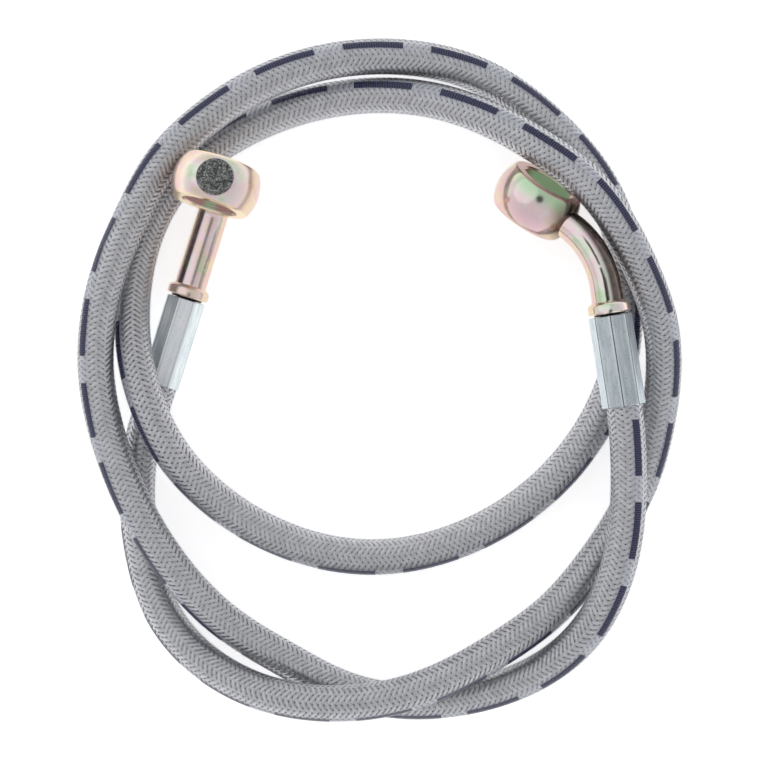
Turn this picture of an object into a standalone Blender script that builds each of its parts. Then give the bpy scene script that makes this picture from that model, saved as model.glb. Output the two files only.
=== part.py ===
"""Steel-braided brake hose with a banjo fitting at each end, lying in two and a half loose turns.

Units are metres and +Z is up. The line rests on the plane Z = 0, and the origin is on that plane, under
the middle of the space that the loops fill. Each fitting is drawn in a frame of its own: Z runs along the
ferrule from its mouth, where the hose goes in, towards the eye, and the pipe bends towards X.
"""
import math

import bmesh
import bpy
import numpy as np
from mathutils import Matrix, Vector

CLEARANCE = 0.0003

# Hose: a printed clear jacket over a wire braid over a plain inner tube.
JACKET_DIAMETER = 0.0073
JACKET_WALL = 0.0004
BRAID_WALL = 0.0004
LINER_WALL = 0.0007
HOSE_STATIONS = 64
HOSE_LEAD_STATIONS = (0.0015, 0.006)
HOSE_FIRST_STATION = 0.012
SAMPLES_BETWEEN_ROUTE_POINTS = 24

# Ferrule: a tube crimped to eight flats, with an end wall that grips the neck of the banjo.
FERRULE_LENGTH = 0.0178
FERRULE_END_WALL = 0.0016
FERRULE_EDGE = 0.00022
LEFT_CRIMP_WALL = 0.00055
RIGHT_CRIMP_WALL = 0.00070
LEFT_CORNER_TURN = math.radians(31.5)
RIGHT_CORNER_TURN = math.radians(22.0)
FLAT_COUNT = 8

# Banjo eye: a ball with two parallel faces and a bolt bore through them.
EYE_DIAMETER = 0.0172
EYE_THICKNESS = 0.0088
EYE_EDGE = 0.0003
BOLT_BORE = 0.0102
BOLT_BORE_CHAMFER = 0.00045
CROWN_FLAT_DEPTH = 0.00074
CROWN_TOOL_HEIGHT = 0.004

# Banjo pipe, collar and barbed tail, in one piece with the eye.
PIPE_DIAMETER = 0.0063
PIPE_ROOT_DIAMETER = 0.0057
PIPE_INTO_EYE = 0.0022
ROOT_STRAIGHT = 0.0003
COLLAR_DIAMETER = 0.0083
COLLAR_LENGTH = 0.0016
COLLAR_SHOULDER = 0.0007
COLLAR_GAP = 0.0005
NECK_DIAMETER = 0.0040
TAIL_END_INSET = 0.0020
BARB_COUNT = 5
BARB_DEPTH = 0.0002
PASSAGE_DIAMETER = 0.0013
TOOL_OVERRUN = 0.001

LEFT_PIPE_STRAIGHT = 0.0167
LEFT_BEND_RADIUS = 0.0050
LEFT_BEND_ANGLE = math.radians(83)
RIGHT_PIPE_STRAIGHT = 0.0056
RIGHT_BEND_RADIUS = 0.0180
RIGHT_BEND_ANGLE = math.radians(45)

# How each fitting lies: the compass angle and the climb of its axis, and the roll of its bend.
LEFT_HEADING = math.radians(72.6)
LEFT_CLIMB = math.radians(0)
LEFT_ROLL = math.radians(90)
RIGHT_HEADING = math.radians(98.8)
RIGHT_CLIMB = math.radians(0)
RIGHT_ROLL = math.radians(-27.5)

# Middle line of the hose in millimetres, from the mouth of the left ferrule to that of the right one.
HOSE_ROUTE_MM = [
    (-43.7, -1.0, 4.30),
    (-47.3, -13.3, 3.90),
    (-47.0, -33.8, 3.65),
    (-42.7, -46.6, 4.00),
    (-26.1, -60.3, 7.80),
    (-15.7, -62.8, 10.30),
    (4.9, -61.3, 11.40),
    (25.2, -51.8, 7.50),
    (33.9, -45.7, 4.80),
    (41.7, -37.1, 3.80),
    (52.6, -17.9, 3.80),
    (55.2, -7.3, 4.60),
    (54.9, 11.8, 9.20),
    (51.7, 20.4, 11.30),
    (47.4, 28.9, 12.70),
    (40.5, 38.2, 13.20),
    (32.1, 44.9, 12.30),
    (10.7, 55.1, 7.00),
    (-10.1, 55.5, 3.90),
    (-31.4, 47.1, 3.65),
    (-40.7, 39.1, 3.65),
    (-46.6, 28.2, 4.00),
    (-48.8, 15.8, 6.00),
    (-48.2, 6.1, 9.80),
    (-45.1, -5.3, 12.60),
    (-40.5, -14.3, 11.70),
    (-34.8, -21.2, 8.40),
    (-26.3, -27.9, 5.00),
    (-16.3, -32.6, 3.70),
    (-3.0, -35.1, 3.65),
    (21.9, -28.9, 3.65),
    (40.0, -13.0, 3.65),
    (48.1, 5.9, 3.65),
    (48.7, 17.9, 3.65),
    (47.0, 31.4, 3.65),
    (32.0, 52.4, 3.65),
    (20.7, 60.0, 4.00),
    (0.2, 63.8, 7.00),
    (-19.8, 59.6, 10.20),
    (-36.7, 48.9, 11.30),
    (-43.0, 42.0, 11.50),
    (-47.7, 33.4, 11.80),
    (-51.8, 24.1, 12.00),
    (-55.4, 2.0, 12.00),
    (-52.8, -12.1, 11.40),
    (-47.8, -24.6, 11.50),
    (-39.7, -37.8, 9.60),
    (-29.2, -48.6, 6.00),
    (-18.6, -55.4, 3.80),
    (-6.9, -61.3, 3.65),
    (17.3, -62.8, 3.90),
    (30.8, -58.0, 5.20),
    (39.2, -51.2, 7.90),
    (46.9, -35.3, 11.80),
    (48.5, -17.7, 12.90),
    (47.5, -5.1, 13.90),
]

braid_diameter = JACKET_DIAMETER - 2 * (JACKET_WALL + CLEARANCE)
liner_diameter = braid_diameter - 2 * (BRAID_WALL + CLEARANCE)
liner_bore = liner_diameter - 2 * LINER_WALL
ferrule_bore = braid_diameter + 2 * CLEARANCE
ferrule_cavity = FERRULE_LENGTH - FERRULE_END_WALL
hose_insertion = ferrule_cavity - CLEARANCE
left_across_flats = ferrule_bore + 2 * LEFT_CRIMP_WALL
right_across_flats = ferrule_bore + 2 * RIGHT_CRIMP_WALL


def new_collection(name):
    collection = bpy.data.collections.new(name)
    bpy.context.scene.collection.children.link(collection)
    return collection


def finish(name, colour, roughness, metallic, alpha=1.0):
    """A Principled material for one kind of surface."""
    material = bpy.data.materials.new(name)
    material.use_nodes = True
    shader = material.node_tree.nodes["Principled BSDF"]
    shader.inputs["Base Color"].default_value = (*colour, 1.0)
    shader.inputs["Roughness"].default_value = roughness
    shader.inputs["Metallic"].default_value = metallic
    shader.inputs["Alpha"].default_value = alpha
    return material


def new_object(name, mesh, collection, parent=None, local=None):
    piece = bpy.data.objects.new(name, mesh)
    collection.objects.link(piece)
    if parent:
        piece.parent = parent
    if local:
        piece.matrix_local = local
    return piece


def as_tool(piece):
    """Marks an object that only joins or cuts another one."""
    piece.hide_render = True
    piece.display_type = "WIRE"
    return piece


def add_boolean(piece, tool, operation):
    modifier = piece.modifiers.new(tool.name, "BOOLEAN")
    modifier.operation = operation
    modifier.solver = "EXACT"
    modifier.object = tool


def turned(name, profile, steps, collection, closed=False, parent=None, local=None):
    """A shape turned about its Z axis from (radius, height) points that run down its outer side."""
    mesh = bpy.data.meshes.new(name)
    bm = bmesh.new()
    corners = [bm.verts.new((radius, 0, height)) for radius, height in profile]
    for upper, lower in zip(corners, corners[1:]):
        bm.edges.new((upper, lower))
    if closed:
        bm.edges.new((corners[-1], corners[0]))
    bm.to_mesh(mesh)
    bm.free()
    piece = new_object(name, mesh, collection, parent, local)
    screw = piece.modifiers.new("turn", "SCREW")
    screw.steps = steps
    screw.render_steps = steps
    screw.use_merge_vertices = True
    screw.merge_threshold = 0.00001
    screw.use_smooth_shade = True
    return piece


def swept(name, points, diameters, resolution, collection, capped, parent=None):
    """A round bar or an open-ended skin along a row of points, as a mesh."""
    curve = bpy.data.curves.new(name + "_line", "CURVE")
    curve.dimensions = "3D"
    curve.bevel_depth = 0.5
    curve.bevel_resolution = resolution
    curve.use_fill_caps = capped
    spline = curve.splines.new("POLY")
    spline.points.add(len(points) - 1)
    for knot, place, diameter in zip(spline.points, points, diameters):
        knot.co = (*place, 1)
        knot.radius = diameter
    line = bpy.data.objects.new(name + "_line", curve)
    collection.objects.link(line)
    bpy.context.view_layer.update()
    mesh = bpy.data.meshes.new_from_object(line.evaluated_get(bpy.context.evaluated_depsgraph_get()))
    mesh.name = name
    bpy.data.objects.remove(line)
    bm = bmesh.new()
    bm.from_mesh(mesh)
    bmesh.ops.remove_doubles(bm, verts=bm.verts, dist=0.000005)
    bmesh.ops.recalc_face_normals(bm, faces=bm.faces)
    bm.to_mesh(mesh)
    bm.free()
    mesh.shade_smooth()
    return new_object(name, mesh, collection, parent)


def axis_direction(heading, climb):
    return Vector((math.cos(heading) * math.cos(climb), math.sin(heading) * math.cos(climb), math.sin(climb)))


def smooth_route(start_direction, end_direction):
    """A clamped cubic spline through the route's points, as a dense row of places in metres."""
    knots = np.array(HOSE_ROUTE_MM) * 0.001
    spans = np.linalg.norm(np.diff(knots, axis=0), axis=1)
    count = len(knots)
    system = np.eye(count)
    slopes = np.zeros((count, 3))
    slopes[0] = start_direction
    slopes[-1] = end_direction
    for i in range(1, count - 1):
        before, after = spans[i - 1], spans[i]
        system[i, i - 1:i + 2] = after, 2 * (before + after), before
        rise_before, rise_after = knots[i] - knots[i - 1], knots[i + 1] - knots[i]
        slopes[i] = 3 * (after * rise_before / before + before * rise_after / after)
    slopes = np.linalg.solve(system, slopes)
    places = []
    for i in range(count - 1):
        for t in np.arange(SAMPLES_BETWEEN_ROUTE_POINTS) / SAMPLES_BETWEEN_ROUTE_POINTS:
            places.append(
                (2 * t**3 - 3 * t**2 + 1) * knots[i]
                + (t**3 - 2 * t**2 + t) * spans[i] * slopes[i]
                + (3 * t**2 - 2 * t**3) * knots[i + 1]
                + (t**3 - t**2) * spans[i] * slopes[i + 1]
            )
    places.append(knots[-1])
    return np.array(places)


def places_along(route, distances):
    """Places on the route at the given distances from its start."""
    travelled = np.concatenate([[0], np.cumsum(np.linalg.norm(np.diff(route, axis=0), axis=1))])
    return [Vector([np.interp(d, travelled, route[:, k]) for k in range(3)]) for d in distances]


def hose_distances(length):
    """Stations along the hose, closer together where it leaves a ferrule so that its ends stay square."""
    lead = [CLEARANCE, *HOSE_LEAD_STATIONS]
    between = np.linspace(HOSE_FIRST_STATION, length - HOSE_FIRST_STATION, HOSE_STATIONS)
    return [*lead, *between, *(length - d for d in reversed(lead))]


def hose_layer(name, points, diameter, wall, resolution, collection, material):
    """One tube of the hose: an open skin with its wall turned inwards."""
    layer = swept(name, points, [diameter] * len(points), resolution, collection, capped=False)
    layer.data.materials.append(material)
    shell = layer.modifiers.new("wall", "SOLIDIFY")
    shell.thickness = wall
    shell.offset = -1
    shell.use_even_offset = True
    return layer


def fitting_frame(name, mouth, heading, climb, roll, collection):
    """An empty at a ferrule's mouth: Z along the ferrule, X the way that the pipe bends."""
    along = axis_direction(heading, climb)
    level = Vector((-math.sin(heading), math.cos(heading), 0))
    upright = along.cross(level)
    bend = level * math.cos(roll) + upright * math.sin(roll)
    side = along.cross(bend)
    frame = bpy.data.objects.new(name, None)
    collection.objects.link(frame)
    frame.matrix_world = Matrix.Translation(mouth) @ Matrix((bend, side, along)).transposed().to_4x4()
    bpy.context.view_layer.update()
    return frame


def crimped_ferrule(name, across_flats, corner_turn, frame, collection, tools, material):
    """Eight crimped flats outside, and inside a bore for the braid that ends in a wall around the neck."""
    mesh = bpy.data.meshes.new(name)
    bm = bmesh.new()
    corner = across_flats / 2 / math.cos(math.pi / FLAT_COUNT)
    bmesh.ops.create_cone(
        bm, cap_ends=True, segments=FLAT_COUNT, radius1=corner, radius2=corner, depth=FERRULE_LENGTH
    )
    bmesh.ops.translate(bm, verts=bm.verts, vec=(0, 0, FERRULE_LENGTH / 2))
    bm.to_mesh(mesh)
    bm.free()
    mesh.materials.append(material)
    ferrule = new_object(name, mesh, collection, frame, Matrix.Rotation(corner_turn, 4, "Z"))
    edges = ferrule.modifiers.new("worn edges", "BEVEL")
    edges.width = FERRULE_EDGE
    edges.segments = 2
    edges.limit_method = "ANGLE"
    bore = ferrule_bore / 2
    neck = NECK_DIAMETER / 2 + CLEARANCE
    profile = [
        (0, FERRULE_LENGTH + TOOL_OVERRUN),
        (neck, FERRULE_LENGTH + TOOL_OVERRUN),
        (neck, ferrule_cavity),
        (bore, ferrule_cavity),
        (bore, -TOOL_OVERRUN),
        (0, -TOOL_OVERRUN),
    ]
    hollow = as_tool(turned(name + "_hollow", profile, 28, tools, parent=frame))
    add_boolean(ferrule, hollow, "DIFFERENCE")
    return ferrule


def eye_profile():
    """Half section of the eye: ball outside between two faces, bore with chamfered mouths inside."""
    radius = EYE_DIAMETER / 2
    half = EYE_THICKNESS / 2
    bore = BOLT_BORE / 2
    rim_angle = math.asin((half - EYE_EDGE) / radius)
    face_radius = radius * math.cos(rim_angle) - EYE_EDGE
    arc = [
        (radius * math.cos(angle), radius * math.sin(angle))
        for angle in np.linspace(rim_angle, -rim_angle, 9)
    ]
    return [
        (bore + BOLT_BORE_CHAMFER, half),
        (face_radius, half),
        *arc,
        (face_radius, -half),
        (bore + BOLT_BORE_CHAMFER, -half),
        (bore, BOLT_BORE_CHAMFER - half),
        (bore, half - BOLT_BORE_CHAMFER),
    ]


def tail_profile():
    """Half section of collar, neck and barbed tail, from the shoulder under the pipe down to the tip."""
    top = FERRULE_LENGTH + COLLAR_GAP + COLLAR_LENGTH + COLLAR_SHOULDER
    collar = COLLAR_DIAMETER / 2
    barb = liner_bore / 2 - CLEARANCE
    root = barb - BARB_DEPTH
    first = ferrule_cavity
    pitch = (first - TAIL_END_INSET) / (BARB_COUNT + 1)
    outline = [
        (0, top),
        (PIPE_DIAMETER / 2, top),
        (collar, top - COLLAR_SHOULDER),
        (collar, FERRULE_LENGTH + COLLAR_GAP),
        (NECK_DIAMETER / 2, FERRULE_LENGTH + COLLAR_GAP),
        (NECK_DIAMETER / 2, first),
        (root, first),
    ]
    for i in range(BARB_COUNT):
        crest = first - pitch * (i + 1)
        outline += [(root, crest + BARB_DEPTH / 2), (barb, crest), (root, crest - pitch * 0.8)]
    outline += [(root, TAIL_END_INSET + BARB_DEPTH), (root - BARB_DEPTH, TAIL_END_INSET), (0, TAIL_END_INSET)]
    return outline


def pipe_line(straight, bend_radius, bend_angle, overlap, stop_short):
    """Middle line of the pipe: straight out of the collar, round the bend and on towards the eye."""
    bend_start = FERRULE_LENGTH + straight
    begin = FERRULE_LENGTH + COLLAR_GAP + COLLAR_LENGTH + COLLAR_SHOULDER - overlap
    line = [Vector((0, 0, begin))]
    for angle in np.linspace(0, bend_angle, 9):
        line.append(Vector((bend_radius * (1 - math.cos(angle)), 0, bend_start + bend_radius * math.sin(angle))))
    root = Vector((math.sin(bend_angle), 0, math.cos(bend_angle)))
    eye = line[-1] + root * (ROOT_STRAIGHT + EYE_DIAMETER / 2)
    line.append(eye - root * stop_short)
    return line, eye, root


def banjo(name, straight, bend_radius, bend_angle, frame, collection, tools, material):
    """The whole banjo in one solid: eye, bent pipe, collar and tail, drilled through from tip to bore."""
    bore = BOLT_BORE / 2
    line, eye, root = pipe_line(straight, bend_radius, bend_angle, COLLAR_SHOULDER, bore + PIPE_INTO_EYE)
    bolt_axis = Vector((math.cos(bend_angle), 0, -math.sin(bend_angle)))
    side = bolt_axis.cross(root)
    at_eye = Matrix.Translation(eye) @ Matrix((root, side, bolt_axis)).transposed().to_4x4()
    body = turned(name, eye_profile(), 44, collection, closed=True, parent=frame, local=at_eye)
    body.data.materials.append(material)

    share = np.linspace(0, 1, len(line))
    widths = [PIPE_DIAMETER + (PIPE_ROOT_DIAMETER - PIPE_DIAMETER) * s for s in share]
    pipe = as_tool(swept(name + "_pipe", line, widths, 8, tools, capped=True, parent=frame))
    tail = as_tool(turned(name + "_tail", tail_profile(), 24, tools, parent=frame))
    drill_line = [Vector((0, 0, 0)), *pipe_line(straight, bend_radius, bend_angle, 0, bore / 2)[0]]
    drill_sizes = [PASSAGE_DIAMETER] * len(drill_line)
    drill = as_tool(swept(name + "_passage", drill_line, drill_sizes, 2, tools, capped=True, parent=frame))
    crown_middle = eye + root * (EYE_DIAMETER / 2 - CROWN_FLAT_DEPTH + CROWN_TOOL_HEIGHT / 2)
    crown_place = Matrix.Translation(crown_middle) @ Matrix((bolt_axis, side, root)).transposed().to_4x4()
    crown = as_tool(crown_cutter(name + "_crown", tools, frame, crown_place))
    add_boolean(body, pipe, "UNION")
    add_boolean(body, tail, "UNION")
    add_boolean(body, drill, "DIFFERENCE")
    add_boolean(body, crown, "DIFFERENCE")
    return body


def crown_cutter(name, tools, frame, place):
    """A drum that takes the round flat off the top of the ball, opposite the pipe."""
    mesh = bpy.data.meshes.new(name)
    bm = bmesh.new()
    radius = EYE_DIAMETER / 3
    bmesh.ops.create_cone(
        bm, cap_ends=True, segments=24, radius1=radius, radius2=radius, depth=CROWN_TOOL_HEIGHT
    )
    bm.to_mesh(mesh)
    bm.free()
    return new_object(name, mesh, tools, frame, place)


for old in list(bpy.data.objects):
    bpy.data.objects.remove(old)

parts = new_collection("brake_hose")
tools = new_collection("joining_and_cutting_tools")

zinc = finish("blue_zinc_ferrule", (0.42, 0.48, 0.50), 0.32, 1.0)
chromate = finish("yellow_chromate_banjo", (0.72, 0.62, 0.48), 0.25, 1.0)
clear_cover = finish("clear_jacket", (0.86, 0.88, 0.92), 0.25, 0.0, 0.35)
stainless = finish("stainless_braid", (0.55, 0.55, 0.56), 0.35, 1.0)
inner_tube = finish("white_inner_tube", (0.85, 0.85, 0.82), 0.45, 0.0)

left_along = axis_direction(LEFT_HEADING, LEFT_CLIMB)
right_along = axis_direction(RIGHT_HEADING, RIGHT_CLIMB)
route = smooth_route(-left_along, right_along)
middle = (route.max(axis=0) + route.min(axis=0)) / 2
lowest = route[:, 2].min() - JACKET_DIAMETER / 2
route -= np.array([middle[0], middle[1], lowest])
left_mouth = Vector(route[0])
right_mouth = Vector(route[-1])

route_length = np.linalg.norm(np.diff(route, axis=0), axis=1).sum()
free_line = places_along(route, hose_distances(route_length))
gripped_line = [
    left_mouth + left_along * hose_insertion,
    left_mouth,
    *free_line[1:-1],
    right_mouth,
    right_mouth + right_along * hose_insertion,
]
hose_layer("clear_jacket", free_line, JACKET_DIAMETER, JACKET_WALL, 4, parts, clear_cover)
hose_layer("steel_braid", gripped_line, braid_diameter, BRAID_WALL, 2, parts, stainless)
hose_layer("hose_liner", gripped_line, liner_diameter, LINER_WALL, 2, parts, inner_tube)

left = fitting_frame("left_fitting", left_mouth, LEFT_HEADING, LEFT_CLIMB, LEFT_ROLL, parts)
right = fitting_frame("right_fitting", right_mouth, RIGHT_HEADING, RIGHT_CLIMB, RIGHT_ROLL, parts)
crimped_ferrule("left_ferrule", left_across_flats, LEFT_CORNER_TURN, left, parts, tools, zinc)
crimped_ferrule("right_ferrule", right_across_flats, RIGHT_CORNER_TURN, right, parts, tools, zinc)
banjo("left_banjo", LEFT_PIPE_STRAIGHT, LEFT_BEND_RADIUS, LEFT_BEND_ANGLE, left, parts, tools, chromate)
banjo("right_banjo", RIGHT_PIPE_STRAIGHT, RIGHT_BEND_RADIUS, RIGHT_BEND_ANGLE, right, parts, tools, chromate)
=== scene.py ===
"""Looks of a steel-braided brake hose that lies in loose turns, with a banjo fitting at each end."""
import math

import bmesh
import bpy
import numpy as np
from mathutils import Matrix, Vector


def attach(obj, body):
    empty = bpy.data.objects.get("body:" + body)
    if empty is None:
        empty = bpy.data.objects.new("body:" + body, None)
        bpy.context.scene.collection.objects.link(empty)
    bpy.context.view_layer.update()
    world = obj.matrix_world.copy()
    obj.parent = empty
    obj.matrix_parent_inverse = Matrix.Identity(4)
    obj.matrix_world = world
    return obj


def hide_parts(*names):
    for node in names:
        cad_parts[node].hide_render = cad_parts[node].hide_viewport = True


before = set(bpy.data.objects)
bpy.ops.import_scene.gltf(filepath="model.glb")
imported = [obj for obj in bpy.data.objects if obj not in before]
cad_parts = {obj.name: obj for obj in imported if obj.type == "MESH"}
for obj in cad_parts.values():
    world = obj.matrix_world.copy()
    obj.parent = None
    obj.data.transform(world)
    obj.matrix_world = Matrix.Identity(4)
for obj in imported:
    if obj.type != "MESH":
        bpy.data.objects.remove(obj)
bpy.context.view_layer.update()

# Camera: straight above the loops and looking down, half a metre up. At the table the picture is 152 mm
# wide, so the hose, which is 7.3 mm thick, is about 37 pixels wide in it.
VIEW_HEIGHT = 0.5
VIEW_WIDTH = 0.152
VIEW_MIDDLE = (-0.00024, -0.00004)
SENSOR_WIDTH = 36
camera_data = bpy.data.cameras.new("overhead_camera")
camera_data.sensor_width = SENSOR_WIDTH
camera_data.lens = SENSOR_WIDTH * VIEW_HEIGHT / VIEW_WIDTH
camera = bpy.data.objects.new("overhead_camera", camera_data)
camera.location = (*VIEW_MIDDLE, VIEW_HEIGHT)
bpy.context.scene.collection.objects.link(camera)
bpy.context.scene.camera = camera

# Clear jacket: an extruded see-through tube, pressed on over the braid for the hose's whole length. A
# milky strip runs along it, and navy dashes are printed on that strip, on the outer side of the loops.
JACKET_DIAMETER = 0.0073
JACKET_WALL = 0.00006
JACKET_RING_SPACING = 0.0014
JACKET_SIDES = 32
CLEARANCE = 0.0003
LEFT_HEADING = math.radians(72.6)
RIGHT_HEADING = math.radians(98.8)
ROUTE_SAMPLES = 24
DASH_SHARE = 0.675
DASH_WIDTH = 0.0016
DASH_EDGE = 0.00005
DASH_WOBBLE = 0.0001
RIBS_PER_DASH = 36
MILKY_WIDTH = 0.0026
MILKY_EDGE = 0.0005
MILKY_HAZE = 0.16
RIM_HAZE = 0.25
CLEAR_HAZE = 0.02
# How the print runs on this hose: millimetres along it, dashes passed, and degrees from the top outwards.
PRINT_COURSE = [
    (0, 0.0, 78), (34, 2.0, 85), (51, 3.0, 80), (126.8, 8.0, 61), (173.8, 11.0, 44), (206.7, 13.0, 36),
    (240.6, 15.0, 26), (258, 16.0, 25), (275.7, 17.0, 30), (292, 18.0, 40), (358.4, 22.0, 51),
    (374.6, 23.0, 56), (390, 24.0, 70), (407, 25.0, 76), (422.7, 26.0, 60), (470.3, 29.0, 62),
    (501, 31.0, 39), (534.8, 33.0, 43), (552.1, 34.0, 41), (568.7, 35.0, 30), (585.6, 36.0, 34),
    (620.2, 38.0, 35), (636.5, 39.0, 42), (652.7, 40.0, 54), (668.6, 41.0, 40), (684, 42.0, 41),
    (699.4, 43.0, 51), (730.2, 45.0, 64), (745.3, 46.0, 76), (805.8, 50.0, 48), (820.8, 51.0, 33),
    (852.5, 53.0, 26), (860.5, 53.5, 26),
]
HOSE_ROUTE_MM = [
    (-43.7, -1.0, 4.30),
    (-47.3, -13.3, 3.90),
    (-47.0, -33.8, 3.65),
    (-42.7, -46.6, 4.00),
    (-26.1, -60.3, 7.80),
    (-15.7, -62.8, 10.30),
    (4.9, -61.3, 11.40),
    (25.2, -51.8, 7.50),
    (33.9, -45.7, 4.80),
    (41.7, -37.1, 3.80),
    (52.6, -17.9, 3.80),
    (55.2, -7.3, 4.60),
    (54.9, 11.8, 9.20),
    (51.7, 20.4, 11.30),
    (47.4, 28.9, 12.70),
    (40.5, 38.2, 13.20),
    (32.1, 44.9, 12.30),
    (10.7, 55.1, 7.00),
    (-10.1, 55.5, 3.90),
    (-31.4, 47.1, 3.65),
    (-40.7, 39.1, 3.65),
    (-46.6, 28.2, 4.00),
    (-48.8, 15.8, 6.00),
    (-48.2, 6.1, 9.80),
    (-45.1, -5.3, 12.60),
    (-40.5, -14.3, 11.70),
    (-34.8, -21.2, 8.40),
    (-26.3, -27.9, 5.00),
    (-16.3, -32.6, 3.70),
    (-3.0, -35.1, 3.65),
    (21.9, -28.9, 3.65),
    (40.0, -13.0, 3.65),
    (48.1, 5.9, 3.65),
    (48.7, 17.9, 3.65),
    (47.0, 31.4, 3.65),
    (32.0, 52.4, 3.65),
    (20.7, 60.0, 4.00),
    (0.2, 63.8, 7.00),
    (-19.8, 59.6, 10.20),
    (-36.7, 48.9, 11.30),
    (-43.0, 42.0, 11.50),
    (-47.7, 33.4, 11.80),
    (-51.8, 24.1, 12.00),
    (-55.4, 2.0, 12.00),
    (-52.8, -12.1, 11.40),
    (-47.8, -24.6, 11.50),
    (-39.7, -37.8, 9.60),
    (-29.2, -48.6, 6.00),
    (-18.6, -55.4, 3.80),
    (-6.9, -61.3, 3.65),
    (17.3, -62.8, 3.90),
    (30.8, -58.0, 5.20),
    (39.2, -51.2, 7.90),
    (46.9, -35.3, 11.80),
    (48.5, -17.7, 12.90),
    (47.5, -5.1, 13.90),
]


def level_direction(heading):
    return Vector((math.cos(heading), math.sin(heading), 0))


def smooth_route(start_direction, end_direction):
    """A clamped cubic spline through the route's points, as a dense row of places in metres."""
    knots = np.array(HOSE_ROUTE_MM) * 0.001
    spans = np.linalg.norm(np.diff(knots, axis=0), axis=1)
    count = len(knots)
    system = np.eye(count)
    slopes = np.zeros((count, 3))
    slopes[0] = start_direction
    slopes[-1] = end_direction
    for i in range(1, count - 1):
        before, after = spans[i - 1], spans[i]
        system[i, i - 1:i + 2] = after, 2 * (before + after), before
        arriving = after * (knots[i] - knots[i - 1]) / before
        leaving = before * (knots[i + 1] - knots[i]) / after
        slopes[i] = 3 * (arriving + leaving)
    slopes = np.linalg.solve(system, slopes)
    places = []
    for i in range(count - 1):
        for t in np.arange(ROUTE_SAMPLES) / ROUTE_SAMPLES:
            places.append(
                (2 * t**3 - 3 * t**2 + 1) * knots[i]
                + (t**3 - 2 * t**2 + t) * spans[i] * slopes[i]
                + (3 * t**2 - 2 * t**3) * knots[i + 1]
                + (t**3 - t**2) * spans[i] * slopes[i + 1]
            )
    places.append(knots[-1])
    return np.array(places)


def along_hose(distances):
    """Places on the hose's middle line, and there its directions along, outwards and upwards."""
    places = np.stack([np.interp(distances, travelled, route[:, k]) for k in range(3)], axis=1)
    along = np.stack([np.interp(distances, travelled, route_slopes[:, k]) for k in range(3)], axis=1)
    along /= np.linalg.norm(along, axis=1, keepdims=True)
    outwards = np.cross(along, (0, 0, 1))
    outwards /= np.linalg.norm(outwards, axis=1, keepdims=True)
    upwards = np.cross(outwards, along)
    return places, along, outwards, upwards


def new_piece(name, mesh):
    piece = bpy.data.objects.new(name, mesh)
    bpy.context.scene.collection.objects.link(piece)
    return piece


def lofted(name, rings, uvs):
    """A closed skin through rings of equal counts of points, from the last ring back to the first."""
    count, sides = len(rings), len(rings[0])
    mesh = bpy.data.meshes.new(name)
    corners = [tuple(point) for ring in rings for point in ring]
    faces = []
    coordinates = []
    for row in range(count):
        here, above = row * sides, (row + 1) % count * sides
        (u0, v0), (u1, v1) = uvs[row]
        for side in range(sides):
            beside = (side + 1) % sides
            faces.append((here + side, here + beside, above + beside, above + side))
            start, end = side / sides, (side + 1) / sides
            coordinates += [(u0 * start, v0), (u0 * end, v0), (u1 * end, v1), (u1 * start, v1)]
    mesh.from_pydata(corners, [], faces)
    layer = mesh.uv_layers.new(name="skin")
    layer.data.foreach_set("uv", np.array(coordinates, dtype=np.float32).ravel())
    bm = bmesh.new()
    bm.from_mesh(mesh)
    bmesh.ops.recalc_face_normals(bm, faces=bm.faces)
    bm.to_mesh(mesh)
    bm.free()
    mesh.shade_smooth()
    return mesh


class Socket:
    """One output of a node. Python's operators on it add Math nodes."""

    def __init__(self, tree, node, output):
        self.tree = tree
        self.node = node
        self.output = node.outputs[output] if len(node.outputs) else None

    def of(self, output):
        return Socket(self.tree, self.node, output)

    def math(self, operation, first, second=0.0):
        return self.tree.node("ShaderNodeMath", {"operation": operation}, {0: first, 1: second})

    def __add__(self, other):
        return self.math("ADD", self, other)

    def __radd__(self, other):
        return self.math("ADD", other, self)

    def __sub__(self, other):
        return self.math("SUBTRACT", self, other)

    def __rsub__(self, other):
        return self.math("SUBTRACT", other, self)

    def __mul__(self, other):
        return self.math("MULTIPLY", self, other)

    def __rmul__(self, other):
        return self.math("MULTIPLY", other, self)

    def __truediv__(self, other):
        return self.math("DIVIDE", self, other)

    def __mod__(self, other):
        return self.math("FLOORED_MODULO", self, other)

    def __lt__(self, other):
        return self.math("LESS_THAN", self, other)

    def __gt__(self, other):
        return self.math("GREATER_THAN", self, other)

    def __abs__(self):
        return self.math("ABSOLUTE", self)

    def sine(self):
        return self.math("SINE", self)

    def cosine(self):
        return self.math("COSINE", self)

    def larger(self, other):
        return self.math("MAXIMUM", self, other)

    def eased(self, low, high):
        """Goes smoothly from 0 at low to 1 at high."""
        return self.tree.node(
            "ShaderNodeMapRange",
            {"interpolation_type": "SMOOTHSTEP"},
            {"Value": self, "From Min": low, "From Max": high},
        )


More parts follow.
